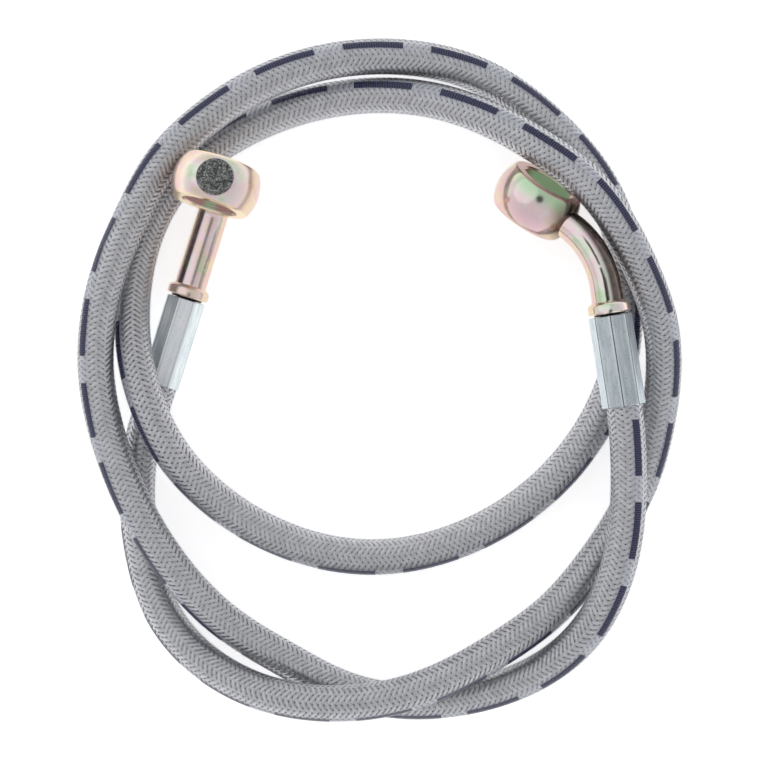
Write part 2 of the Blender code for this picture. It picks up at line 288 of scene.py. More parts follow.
class Tree:
    """A node tree that nodes are added to by type, settings and the values or links of their sockets."""

    def __init__(self, node_tree):
        self.node_tree = node_tree

    def node(self, kind, settings=None, sockets=None, output=0):
        node = self.node_tree.nodes.new(kind)
        for name, value in (settings or {}).items():
            if name == "stops":
                while len(node.color_ramp.elements) < len(value):
                    node.color_ramp.elements.new(1)
                for element, (place, colour) in zip(node.color_ramp.elements, value):
                    element.position = place
                    element.color = (*colour, 1)
            else:
                setattr(node, name, value)
        for key, value in (sockets or {}).items():
            if isinstance(value, Socket):
                self.node_tree.links.new(value.output, node.inputs[key])
            else:
                node.inputs[key].default_value = value
        return Socket(self, node, output)

    def mixed(self, share, first, second):
        """A colour between two colours."""
        mix = self.node("ShaderNodeMix", {"data_type": "RGBA"}, {0: share}, output=2)
        for place, colour in ((6, first), (7, second)):
            if isinstance(colour, Socket):
                self.node_tree.links.new(colour.output, mix.node.inputs[place])
            else:
                mix.node.inputs[place].default_value = (*colour, 1)
        return mix

    def vector(self, operation, first, second=(0, 0, 0), output=0):
        """A vector or a value worked out from two vectors."""
        return self.node("ShaderNodeVectorMath", {"operation": operation}, {0: first, 1: second}, output)

    def noise(self, where, scale, detail=2.0, roughness=0.5):
        """Noise from 0 to 1 at a place, with a feature size of about 1 / scale metres."""
        inputs = {"Vector": where, "Scale": scale, "Detail": detail, "Roughness": roughness}
        return self.node("ShaderNodeTexNoise", None, inputs)


def new_finish(name):
    """An empty material and its tree."""
    material = bpy.data.materials.new(name)
    material.use_nodes = True
    material.node_tree.nodes.clear()
    return material, Tree(material.node_tree)


def surfaced(tree, settings):
    """Ends a material in a Principled shader with these sockets."""
    shader = tree.node("ShaderNodeBsdfPrincipled", None, settings)
    tree.node("ShaderNodeOutputMaterial", None, {"Surface": shader})


def printed_jacket():
    """Clear plastic with a milky strip, and on it the printed dashes, whose fine ribs are painted light and
    shade: lighter navy on the ribs, darker between them.
    """
    material, tree = new_finish("printed_clear_jacket")
    place = tree.node("ShaderNodeSeparateXYZ", None, {0: tree.node("ShaderNodeUVMap", {"uv_map": "skin"})})
    aside = abs(place.of("X") - math.pi * JACKET_DIAMETER / 2)
    passed = place.of("Y")
    wobble = tree.noise(tree.node("ShaderNodeTexCoord", None, None, "Object"), 900.0)
    # Painted light and shade of the fine ribs across each dash: lighter navy on the ribs, darker between
    # them.
    rib_light_and_shade = (passed * (2 * math.pi * RIBS_PER_DASH)).sine() * 0.5 + 0.5
    off_middle = aside + (wobble - 0.5) * DASH_WOBBLE
    in_width = 1 - off_middle.eased(DASH_WIDTH / 2 - DASH_EDGE, DASH_WIDTH / 2 + DASH_EDGE)
    in_dash = ((passed + DASH_SHARE / 2) % 1) < DASH_SHARE
    dash = in_width * in_dash
    milky = 1 - aside.eased(MILKY_WIDTH / 2 - MILKY_EDGE, MILKY_WIDTH / 2 + MILKY_EDGE)
    navy = tree.mixed(rib_light_and_shade, (0.018, 0.020, 0.055), (0.075, 0.080, 0.155))
    grazing = tree.node("ShaderNodeLayerWeight", None, {"Blend": 0.25}, "Facing")
    rim = grazing * grazing
    haze = milky * MILKY_HAZE + rim * rim * RIM_HAZE + CLEAR_HAZE
    surfaced(tree, {
        "Base Color": tree.mixed(dash, (0.80, 0.83, 0.92), navy),
        "Alpha": (dash * (0.82 + rib_light_and_shade * 0.16)).larger(haze),
        "Roughness": 0.22,
        "IOR": 1.45,
    })
    return material


left_along = level_direction(LEFT_HEADING)
right_along = level_direction(RIGHT_HEADING)
route = smooth_route(-left_along, right_along)
middle = (route.max(axis=0) + route.min(axis=0)) / 2
route -= np.array([middle[0], middle[1], route[:, 2].min() - JACKET_DIAMETER / 2])
route_slopes = np.gradient(route, axis=0)
travelled = np.concatenate([[0], np.cumsum(np.linalg.norm(np.diff(route, axis=0), axis=1))])
hose_length = travelled[-1]
left_mouth = Vector(route[0])
right_mouth = Vector(route[-1])

stations = np.linspace(CLEARANCE, hose_length - CLEARANCE, int(hose_length / JACKET_RING_SPACING))
places, _, outwards, upwards = along_hose(stations)
marks, dashes, degrees = np.array(PRINT_COURSE).T
stripe_angles = np.radians(np.interp(stations * 1000, marks, degrees))
dashes_passed = np.interp(stations * 1000, marks, dashes)
jacket_rings = []
jacket_uvs = []
for radius, order in ((JACKET_DIAMETER / 2, 1), (JACKET_DIAMETER / 2 - JACKET_WALL, -1)):
    for i in range(len(stations))[::order]:
        turns = stripe_angles[i] + np.linspace(-math.pi, math.pi, JACKET_SIDES, endpoint=False)
        spokes = np.outer(np.cos(turns), upwards[i]) + np.outer(np.sin(turns), outwards[i])
        jacket_rings.append(places[i] + radius * spokes)
        jacket_uvs.append((math.pi * JACKET_DIAMETER, dashes_passed[i]))
jacket_spans = list(zip(jacket_uvs, jacket_uvs[1:] + jacket_uvs[:1]))
jacket = new_piece("printed_jacket", lofted("printed_jacket", jacket_rings, jacket_spans))
jacket.data.materials.append(printed_jacket())
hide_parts("clear_jacket")
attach(jacket, "root")

# Wire braid: flat bundles of fine stainless wire, twelve wound one way and twelve the other, each over two
# and under two of the others. It is woven on the inner tube, and carries the pressure.
CARRIERS = 12
CROSSINGS_PER_TURN = 24
LAY_LENGTH = 0.0134
BRAID_RADIUS = 0.00344
BUNDLE_WIDTH = 0.00080
BUNDLE_THICKNESS = 0.00013
WEAVE_HEIGHT = 0.00006
BRAID_GRIP = 0.002
PROFILE_CORNERS = 5
WIRES_PER_BUNDLE = 6
CROWN_BUMP = 0.00009
BRAID_SHARP_ANGLE = math.radians(40)
CORE_RING_SPACING = 0.002
CORE_SIDES = 20
CORE_WALL = 0.0003


def weave_tree():
    """Geometry nodes that wind bundles of wire along a line, one way round, with their weave."""
    scale = {"operation": "SCALE"}
    group = bpy.data.node_groups.new("braid_one_way", "GeometryNodeTree")
    entries = [
        ("Line", "NodeSocketGeometry"),
        ("Carriers", "NodeSocketInt"),
        ("Samples", "NodeSocketInt"),
        ("Turn", "NodeSocketFloat"),
        ("Phase", "NodeSocketFloat"),
        ("Radius", "NodeSocketFloat"),
        ("Step", "NodeSocketFloat"),
        ("Crossings", "NodeSocketFloat"),
        ("Weave Height", "NodeSocketFloat"),
        ("Bundle Width", "NodeSocketFloat"),
        ("Bundle Thickness", "NodeSocketFloat"),
        ("Wire", "NodeSocketMaterial"),
    ]
    for name, kind in entries:
        group.interface.new_socket(name=name, in_out="INPUT", socket_type=kind)
    group.interface.new_socket(name="Braid", in_out="OUTPUT", socket_type="NodeSocketGeometry")
    tree = Tree(group)
    given = tree.node("NodeGroupInput")
    line = tree.node("GeometryNodeMeshToCurve", None, {"Mesh": given.of("Line")})
    straight = tree.node("GeometryNodeCurvePrimitiveLine")
    counted = tree.node("GeometryNodeResampleCurve", None, {"Curve": straight, "Count": given.of("Samples")})
    copies = tree.node(
        "GeometryNodeDuplicateElements",
        {"domain": "SPLINE"},
        {"Geometry": counted, "Amount": given.of("Carriers")},
    )
    carrier = copies.of("Duplicate Index")
    crossing = tree.node("GeometryNodeSplineParameter").of("Index")
    sampled = tree.node(
        "GeometryNodeSampleCurve",
        {"mode": "LENGTH"},
        {"Curves": line, "Length": crossing * given.of("Step")},
        "Position",
    )
    heading = tree.vector("NORMALIZE", sampled.of("Tangent"))
    outward = tree.vector("NORMALIZE", tree.vector("CROSS_PRODUCT", heading, (0, 0, 1)))
    upward = tree.vector("CROSS_PRODUCT", outward, heading)
    turn = given.of("Turn")
    angle = 2 * math.pi * (carrier / given.of("Carriers") + turn * crossing / given.of("Crossings"))
    spoke = tree.vector(
        "ADD",
        tree.node("ShaderNodeVectorMath", scale, {0: upward, "Scale": angle.cosine()}),
        tree.node("ShaderNodeVectorMath", scale, {0: outward, "Scale": angle.sine()}),
    )
    on_top = ((2 * carrier + turn * crossing + given.of("Phase") + 0.5) % 4) < 2
    reach = given.of("Radius") + given.of("Weave Height") * (2 * on_top - 1)
    lift = tree.node("ShaderNodeVectorMath", scale, {0: spoke, "Scale": reach})
    place = tree.vector("ADD", sampled, lift)
    wound = tree.node("GeometryNodeSetPosition", None, {"Geometry": copies, "Position": place})
    tagged = tree.node(
        "GeometryNodeStoreNamedAttribute",
        {"data_type": "FLOAT", "domain": "CURVE"},
        {"Geometry": wound, "Name": "carrier", "Value": carrier},
    )
    facing = tree.node("GeometryNodeSetCurveNormal", {"mode": "FREE"}, {"Curve": tagged, "Normal": spoke})
    circle = tree.node(
        "GeometryNodeCurvePrimitiveCircle",
        None,
        {"Resolution": PROFILE_CORNERS, "Radius": 0.5},
    )
    section_size = tree.node(
        "ShaderNodeCombineXYZ",
        None,
        {"X": given.of("Bundle Thickness"), "Y": given.of("Bundle Width"), "Z": 1.0},
    )
    section = tree.node("GeometryNodeTransform", None, {"Geometry": circle, "Scale": section_size})
    across = tree.node("ShaderNodeSeparateXYZ", None, {0: tree.node("GeometryNodeInputPosition")}, "Y")
    marked = tree.node(
        "GeometryNodeStoreNamedAttribute",
        {"data_type": "FLOAT", "domain": "POINT"},
        {"Geometry": section, "Name": "across", "Value": across / given.of("Bundle Width")},
    )
    solid = tree.node(
        "GeometryNodeCurveToMesh",
        None,
        {"Curve": facing, "Profile Curve": marked, "Fill Caps": True},
    )
    smooth = tree.node("GeometryNodeSetShadeSmooth", None, {0: solid})
    whole = tree.node("GeometryNodeRealizeInstances", None, {0: smooth})
    dressed = tree.node("GeometryNodeSetMaterial", None, {"Geometry": whole, "Material": given.of("Wire")})
    tree.node("NodeGroupOutput", None, {"Braid": dressed})
    return group


def baked(name, mesh, group, values):
    """The plain mesh that a node group makes of a mesh, with its inputs set by name."""
    guide = new_piece(name + "_guide", mesh)
    modifier = guide.modifiers.new("braid", "NODES")
    modifier.node_group = group
    entries = [item for item in group.interface.items_tree if item.in_out == "INPUT"]
    identifiers = {item.name: item.identifier for item in entries}
    for key, value in values.items():
        modifier[identifiers[key]] = value
    bpy.context.view_layer.update()
    result = bpy.data.meshes.new_from_object(guide.evaluated_get(bpy.context.evaluated_depsgraph_get()))
    result.name = name
    bpy.data.objects.remove(guide)
    return result


def wire_bundle():
    """Drawn stainless wires, side by side in a rounded bundle, with painted shade darkening its edges where
    it meets the bundles beside it.
    """
    material, tree = new_finish("stainless_wire")
    across = tree.node("ShaderNodeAttribute", {"attribute_name": "across"}, None, "Fac")
    where = tree.node("ShaderNodeTexCoord", None, None, "Object")
    mottle = tree.noise(where, 700.0)
    wires = (across * (2 * math.pi * WIRES_PER_BUNDLE)).cosine() * 0.5 + 0.5
    crown = 1 - across * across * 4
    bump = tree.node("ShaderNodeBump", None, {
        "Strength": 1.0, "Distance": CROWN_BUMP, "Height": crown + wires * 0.1,
    })
    colour = tree.mixed(mottle.eased(0.3, 0.7), (0.56, 0.565, 0.585), (0.68, 0.685, 0.71))
    # Painted shade towards each bundle's edges, where it dips against its neighbours.
    edge_shaded = tree.mixed(abs(across).eased(0.30, 0.47) * 0.5, colour, (0.18, 0.18, 0.19))
    surfaced(tree, {
        "Base Color": edge_shaded,
        "Metallic": 1.0,
        "Roughness": 0.32 + mottle * 0.12,
        "Normal": bump,
    })
    return material


def painted_shade_sleeve():
    """A dark sleeve under the braid, its near-black colour a painted shade for the deep weave where little
    light gets in.
    """
    material, tree = new_finish("painted_shade_under_braid")
    where = tree.node("ShaderNodeTexCoord", None, None, "Object")
    colour = tree.mixed(tree.noise(where, 1500.0), (0.05, 0.05, 0.055), (0.12, 0.12, 0.125))
    surfaced(tree, {"Base Color": colour, "Metallic": 0.6, "Roughness": 0.5})
    return material


def line_mesh(name, points):
    mesh = bpy.data.meshes.new(name)
    mesh.from_pydata([tuple(p) for p in points], [(i, i + 1) for i in range(len(points) - 1)], [])
    return mesh


grip_start = np.array(left_mouth + left_along * BRAID_GRIP)
grip_end = np.array(right_mouth + right_along * BRAID_GRIP)
braid_line = np.vstack([grip_start, route, grip_end])
braid_length = hose_length + 2 * BRAID_GRIP
braid_step = LAY_LENGTH / CROSSINGS_PER_TURN
wire = wire_bundle()
weave = weave_tree()
for name, turn, phase in (("braid_right_hand", 1.0, 0.0), ("braid_left_hand", -1.0, 2.0)):
    mesh = baked(name, line_mesh(name + "_line", braid_line), weave, {
        "Carriers": CARRIERS,
        "Samples": int(braid_length / braid_step) + 1,
        "Turn": turn,
        "Phase": phase,
        "Radius": BRAID_RADIUS,
        "Step": braid_step,
        "Crossings": float(CROSSINGS_PER_TURN),
        "Weave Height": WEAVE_HEIGHT,
        "Bundle Width": BUNDLE_WIDTH,
        "Bundle Thickness": BUNDLE_THICKNESS,
        "Wire": wire,
    })
    mesh.set_sharp_from_angle(angle=BRAID_SHARP_ANGLE)
    braid = new_piece(name, mesh)
    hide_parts("steel_braid")
    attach(braid, "root")

# Under the braid lies a thin dark sleeve: a dark thing put where there is only shade, so that the gaps in the
# weave show dark.
core_count = int(hose_length / CORE_RING_SPACING)
core_stations = np.linspace(-BRAID_GRIP, hose_length + BRAID_GRIP, core_count)
core_radius = BRAID_RADIUS - WEAVE_HEIGHT - BUNDLE_THICKNESS
on_route = np.clip(core_stations, 0, hose_length)
places, along, outwards, upwards = along_hose(on_route)
places += along * (core_stations - on_route)[:, None]
turns = np.linspace(0, 2 * math.pi, CORE_SIDES, endpoint=False)
core_rings = []
for radius, order in ((core_radius, 1), (core_radius - CORE_WALL, -1)):
    for i in range(len(core_stations))[::order]:
        spokes = np.outer(np.cos(turns), upwards[i]) + np.outer(np.sin(turns), outwards[i])
        core_rings.append(places[i] + radius * spokes)
core_uvs = [((1, 0), (1, 0))] * len(core_rings)
core = new_piece("braid_painted_shade_sleeve", lofted("braid_painted_shade_sleeve", core_rings, core_uvs))
core.data.materials.append(painted_shade_sleeve())
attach(core, "root")

# Inner tube: a plain white tube that carries the fluid, inside the braid and hidden by it. It keeps its
# solid, and its surface is smooth, slightly waxy plastic.


def waxy_white():
    material, tree = new_finish("white_inner_tube")
    where = tree.node("ShaderNodeTexCoord", None, None, "Object")
    colour = tree.mixed(tree.noise(where, 400.0), (0.78, 0.78, 0.75), (0.86, 0.86, 0.83))
    surfaced(tree, {"Base Color": colour, "Roughness": 0.42, "Specular IOR Level": 0.4})
    return material


def dress(node, material):
    """Gives a carried-over solid its finish."""
    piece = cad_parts[node]
    piece.data.materials.clear()
    piece.data.materials.append(material)


dress("hose_liner", waxy_white())

# Ferrules: steel sleeves with blue zinc plate, pushed over the hose's end and crimped to eight flats, so
# that they grip the braid on the barbed tail of the banjo.
FERRULE_LENGTH = 0.0178
FERRULE_END_WALL = 0.0016
FERRULE_EDGE_RADIUS = 0.00030
FERRULE_CHAMFER = 0.00016
FERRULE_CHAMFER_SLOPE = 0.8
FERRULE_BORE = 0.00726
NECK_DIAMETER = 0.0040
LEFT_ACROSS_FLATS = 0.0076
RIGHT_ACROSS_FLATS = 0.0079
LEFT_CORNER_TURN = math.radians(31.5)
RIGHT_CORNER_TURN = math.radians(22.0)
LEFT_ROLL = math.radians(90)
RIGHT_ROLL = math.radians(-27.5)
FLATS = 8
FLAT_HOLLOW = 0.00003
EDGE_POINTS = 5
FLAT_POINTS = 3
END_MARGIN = 0.0012
RINGS_BETWEEN = 6
FERRULE_SHARP_ANGLE = math.radians(35)


def fitting_frame(mouth, along, roll):
    """Turns a fitting's own frame into the row's: Z along the ferrule, X the way that the pipe bends."""
    level = Vector((-along.y, along.x, 0))
    bend = level * math.cos(roll) + along.cross(level) * math.sin(roll)
    side = along.cross(bend)
    return Matrix.Translation(mouth) @ Matrix((bend, side, along)).transposed().to_4x4()


def crimped_section(across_flats):
    """Eight flats, each a little hollow, that meet in small round ridges."""
    flat = across_flats / 2
    half_flat = math.pi / FLATS
    ridge = flat / math.cos(half_flat) - FERRULE_EDGE_RADIUS * (1 / math.cos(half_flat) - 1)
    half_round = FERRULE_EDGE_RADIUS * math.tan(half_flat) / flat
    edge = flat / math.cos(half_flat - half_round)
    points = []
    for k in range(FLATS):
        corner = k * 2 * half_flat
        for offset in np.linspace(-half_round, half_round, EDGE_POINTS):
            bend = 1 - (abs(offset) / half_round) ** 2
            points.append((edge + (ridge - edge) * bend, corner + offset))
        for share in np.arange(1, FLAT_POINTS + 1) / (FLAT_POINTS + 1):
            turn = corner + half_round + share * (2 * half_flat - 2 * half_round)
            hollow = FLAT_HOLLOW * math.sin(share * math.pi)
            points.append((flat / math.cos(turn - corner - half_flat) - hollow, turn))
    return points


def ferrule_mesh(name, across_flats, corner_turn, place):
    """The crimped sleeve: flats outside, and inside the hose's bore and the end wall round the neck."""
    bore, neck = FERRULE_BORE / 2, NECK_DIAMETER / 2 + CLEARANCE
    cavity = FERRULE_LENGTH - FERRULE_END_WALL
    chamfer_rise = FERRULE_CHAMFER * FERRULE_CHAMFER_SLOPE
    between = np.linspace(END_MARGIN, FERRULE_LENGTH - END_MARGIN, RINGS_BETWEEN)
    section = crimped_section(across_flats)
    outline = [
        (None, FERRULE_CHAMFER, 0),
        (None, 0, chamfer_rise),
        *((None, 0, height) for height in between),
        (None, 0, FERRULE_LENGTH - chamfer_rise),
        (None, FERRULE_CHAMFER, FERRULE_LENGTH),
        (neck, 0, FERRULE_LENGTH),
        (neck, 0, cavity),
        (bore, 0, cavity),
        (bore, 0, 0),
    ]
    rings, heights = [], []
    for round_radius, inset, height in outline:
        ring = []
        for radius, turn in section:
            reach = round_radius or radius - inset
            angle = turn + corner_turn
            ring.append(place @ Vector((reach * math.cos(angle), reach * math.sin(angle), height)))
        rings.append(ring)
        heights.append((1.0, height / FERRULE_LENGTH))
    mesh = lofted(name, rings, list(zip(heights, heights[1:] + heights[:1])))
    mesh.set_sharp_from_angle(angle=FERRULE_SHARP_ANGLE)
    return mesh


def blue_zinc(name, dull, bright, ridge_line, ridge_side, speckle_strength, top_highlight_strength):
    """Zinc plate with soft lengthwise streaks from the crimping dies, a fine speckle, and painted light and
    shade on and beside its ridges.

    The flat that faces up is painted paler and less metallic, a painted highlight, as the last argument says."""
    material, tree = new_finish(name)
    skin = tree.node("ShaderNodeSeparateXYZ", None, {0: tree.node("ShaderNodeUVMap", {"uv_map": "skin"})})
    stretched = tree.node("ShaderNodeCombineXYZ", None, {"X": skin.of("X") * 60, "Y": skin.of("Y") * 3})
    streaks = tree.noise(stretched, 1.0, 4.0, 0.6)
    where = tree.node("ShaderNodeTexCoord", None, None, "Object")
    speckle = tree.noise(where, 2600.0, 3.0, 0.7)
    bump = tree.node("ShaderNodeBump", None, {
        "Strength": 0.25, "Distance": 0.00005, "Height": streaks * 0.7 + speckle * 0.3,
    })
    plate = tree.mixed(streaks.eased(0.30, 0.72), dull, bright)
    facing = tree.node("ShaderNodeNewGeometry", None, None, "Normal")
    # Painted highlight: the flat that faces up is made paler and less metallic.
    upwards = tree.node("ShaderNodeSeparateXYZ", None, {0: facing}, "Z").eased(0.75, 0.95) * top_highlight_strength
    painted_top_highlight = tree.mixed(streaks.eased(0.30, 0.72), (0.80, 0.89, 0.94), (1.0, 1.0, 1.0))
    plate = tree.mixed(upwards, plate, painted_top_highlight)
    speckled = tree.mixed(speckle.eased(0.55, 0.70) * speckle_strength, plate, (0.16, 0.19, 0.21))
    # Painted light and shade along each ridge in the ridge_line tone, and beside it in the ridge_side tone.
    ridge_middle = (EDGE_POINTS // 2) / (EDGE_POINTS + FLAT_POINTS)
    from_ridge = abs(((skin.of("X") * FLATS - ridge_middle + 0.5) % 1) - 0.5)
    beside = from_ridge.eased(0.22, 0.26) * (1 - from_ridge.eased(0.27, 0.33))
    flanked = tree.mixed(beside * (0.2 + streaks * 0.6), speckled, ridge_side)
    ridge_painted_light = tree.mixed((1 - from_ridge.eased(0.16, 0.26)) * (0.65 + speckle * 0.35), flanked, ridge_line)
    surfaced(tree, {
        "Base Color": ridge_painted_light,
        "Metallic": 1 - upwards * 0.9,
        "Roughness": 0.24 + streaks * 0.16,
        "Normal": bump,
    })
    return material


left_place = fitting_frame(left_mouth, left_along, LEFT_ROLL)
right_place = fitting_frame(right_mouth, right_along, RIGHT_ROLL)
# Tones: dull and bright plate, the painted ridge line, the painted band beside it, speckle strength, and the
# upper flat's painted highlight. On the left each ridge gets a painted highlight with painted shade beside
# it; on the right it gets painted shade with a painted highlight beside it.
for name, across_flats, corner_turn, place, tones in (
    ("left_ferrule", LEFT_ACROSS_FLATS, LEFT_CORNER_TURN, left_place,
     ((0.66, 0.74, 0.77), (0.92, 0.97, 0.97), (1.0, 1.0, 1.0), (0.55, 0.62, 0.66), 0.25, 1.0)),
    ("right_ferrule", RIGHT_ACROSS_FLATS, RIGHT_CORNER_TURN, right_place,
     ((0.50, 0.57, 0.61), (0.68, 0.75, 0.78), (0.10, 0.12, 0.15), (0.95, 1.0, 1.0), 0.50, 0.0)),
):
    mesh = ferrule_mesh(name + "_crimped", across_flats, corner_turn, place)
    ferrule = new_piece(name + "_crimped", mesh)
    ferrule.data.materials.append(blue_zinc(name + "_zinc", *tones))
    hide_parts(name)
    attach(ferrule, "root")

# Banjo fittings: each is one steel piece, forged and turned, with a ball eye for the bolt and a bent pipe.
# It is drilled through and plated with yellow chromate, whose thin film shows pink, green and gold.
EYE_DIAMETER = 0.0172
EYE_THICKNESS = 0.0088
EYE_EDGE = 0.0003
EYE_SIDES = 128
BALL_POINTS = 31
BORE_POINTS = 9
BOLT_BORE = 0.0102
BOLT_BORE_CHAMFER = 0.00045
CROWN_FLAT_DEPTH = 0.00074
CROWN_FLAT_RADIUS = 0.0035
CROWN_TOOL_HEIGHT = 0.004
CROWN_TOOL_RADIUS = EYE_DIAMETER / 3
PIPE_DIAMETER = 0.0063
PIPE_ROOT_DIAMETER = 0.0057
PIPE_INTO_EYE = 0.0022
PIPE_SIDES = 64
STRAIGHT_STEPS = 8
BEND_STEPS = 25
ROOT_STRAIGHT = 0.0003
COLLAR_DIAMETER = 0.0083
COLLAR_LENGTH = 0.0016
COLLAR_SHOULDER = 0.0007
COLLAR_GAP = 0.0005
COLLAR_EDGE = 0.00018
COLLAR_INTO_PIPE = 0.0004
COLLAR_UNDER_PIPE = 0.0001
# The seat is a wide disc that fills the gap under the collar: a dark thing put where there is only shadow.
SHADOW_SEAT_DIAMETER = 0.0062
TAIL_DEPTH = 0.004
PASSAGE_DIAMETER = 0.0013
PASSAGE_SIDES = 16
MERGE_DISTANCE = 0.000001
BANJO_SHARP_ANGLE = math.radians(32)
LEFT_PIPE = {"straight": 0.0167, "radius": 0.0050, "angle": math.radians(83)}
RIGHT_PIPE = {"straight": 0.0056, "radius": 0.0180, "angle": math.radians(45)}


def eye_outline():
    """Half section of the eye: ball outside between two faces, bore with chamfered mouths inside."""
    radius, half, bore = EYE_DIAMETER / 2, EYE_THICKNESS / 2, BOLT_BORE / 2
    rim_angle = math.asin((half - EYE_EDGE) / radius)
    face_radius = radius * math.cos(rim_angle) - EYE_EDGE
    angles = np.linspace(rim_angle, -rim_angle, BALL_POINTS)
    mouth = bore + BOLT_BORE_CHAMFER
    return [
        (mouth, half),
        (face_radius, half),
        *((radius * math.cos(angle), radius * math.sin(angle)) for angle in angles),
        (face_radius, -half),
        (mouth, -half),
        *((bore, z) for z in np.linspace(BOLT_BORE_CHAMFER - half, half - BOLT_BORE_CHAMFER, BORE_POINTS)),
    ]


def collar_outline():
    """Half section of the collar and the neck, from the pipe down into the ferrule, with a wide seat in the
    gap that stands in for the shadow there.
    """
    top = FERRULE_LENGTH + COLLAR_GAP + COLLAR_LENGTH + COLLAR_SHOULDER
    foot = FERRULE_LENGTH + COLLAR_GAP
    shadow_seat = FERRULE_LENGTH + COLLAR_GAP / 5
    collar = COLLAR_DIAMETER / 2
    return [
        (0, top + COLLAR_INTO_PIPE),
        (PIPE_DIAMETER / 2 - COLLAR_UNDER_PIPE, top + COLLAR_INTO_PIPE),
        (PIPE_DIAMETER / 2, top),
        (collar - COLLAR_EDGE, top - COLLAR_SHOULDER + COLLAR_EDGE),
        (collar, top - COLLAR_SHOULDER - COLLAR_EDGE),
        (collar, foot + COLLAR_EDGE),
        (collar - COLLAR_EDGE, foot),
        (SHADOW_SEAT_DIAMETER / 2, foot),
        (SHADOW_SEAT_DIAMETER / 2, shadow_seat),
        (NECK_DIAMETER / 2, shadow_seat),
        (NECK_DIAMETER / 2, foot - TAIL_DEPTH),
        (0, foot - TAIL_DEPTH),
    ]


def turned(name, outline, steps, closed, place):
    """A shape turned about its own Z axis, then put in its place."""
    rings = []
    for step in range(steps):
        angle = 2 * math.pi * step / steps
        rings.append([place @ Vector((r * math.cos(angle), r * math.sin(angle), z)) for r, z in outline])
    return grid_solid(name, rings, closed)


def grid_solid(name, rows, closed):
    """A closed solid from rows of points that run round it; closed joins each row's ends."""
    mesh = bpy.data.meshes.new(name)
    count, width = len(rows), len(rows[0])
    faces = []
    for row in range(count):
        after = (row + 1) % count
        for k in range(width if closed else width - 1):
            beside = (k + 1) % width
            faces.append((row * width + k, after * width + k, after * width + beside, row * width + beside))
    mesh.from_pydata([tuple(point) for row in rows for point in row], [], faces)
    cleaned(mesh)
    return new_piece(name, mesh)


def cleaned(mesh):
    bm = bmesh.new()
    bm.from_mesh(mesh)
    bmesh.ops.remove_doubles(bm, verts=bm.verts, dist=MERGE_DISTANCE)
    bmesh.ops.recalc_face_normals(bm, faces=bm.faces)
    bm.to_mesh(mesh)
    bm.free()


def swept_bar(name, line, diameters, sides, place):
    """A round bar along a line that bends in its frame's XZ plane, with flat ends."""
    columns = []
    for step in range(sides):
        angle = 2 * math.pi * step / sides
        column = [place @ line[0][0]]
        for (middle, along), diameter in zip(line, diameters):
            across = Vector((along.z, 0, -along.x))
            spoke = across * math.cos(angle) + Vector((0, 1, 0)) * math.sin(angle)
            column.append(place @ (middle + spoke * diameter / 2))
        column.append(place @ line[-1][0])
        columns.append(column)
    return grid_solid(name, columns, False)


def pipe_line(shape, lead, stop_short):
    """Middle line of the pipe with its directions, and the eye's centre and the way from the pipe to it."""
    bend_start = FERRULE_LENGTH + shape["straight"]
    begin = FERRULE_LENGTH + COLLAR_GAP + COLLAR_LENGTH + COLLAR_SHOULDER - lead
    upright = Vector((0, 0, 1))
    straight = np.linspace(begin, bend_start, STRAIGHT_STEPS, endpoint=False)
    line = [(Vector((0, 0, z)), upright) for z in straight]
    radius = shape["radius"]
    for angle in np.linspace(0, shape["angle"], BEND_STEPS):
        middle = Vector((radius * (1 - math.cos(angle)), 0, bend_start + radius * math.sin(angle)))
        line.append((middle, Vector((math.sin(angle), 0, math.cos(angle)))))
    root = line[-1][1]
    eye = line[-1][0] + root * (ROOT_STRAIGHT + EYE_DIAMETER / 2)
    line.append((eye - root * stop_short, root))
    return line, eye, root


def combined(piece, tool, operation):
    """Joins or cuts a piece by a tool for good, and removes the tool."""
    modifier = piece.modifiers.new(operation, "BOOLEAN")
    modifier.operation = operation
    modifier.solver = "EXACT"
    modifier.object = tool
    bpy.context.view_layer.update()
    mesh = bpy.data.meshes.new_from_object(piece.evaluated_get(bpy.context.evaluated_depsgraph_get()))
    piece.modifiers.clear()
    piece.data = mesh
    bpy.data.objects.remove(tool)


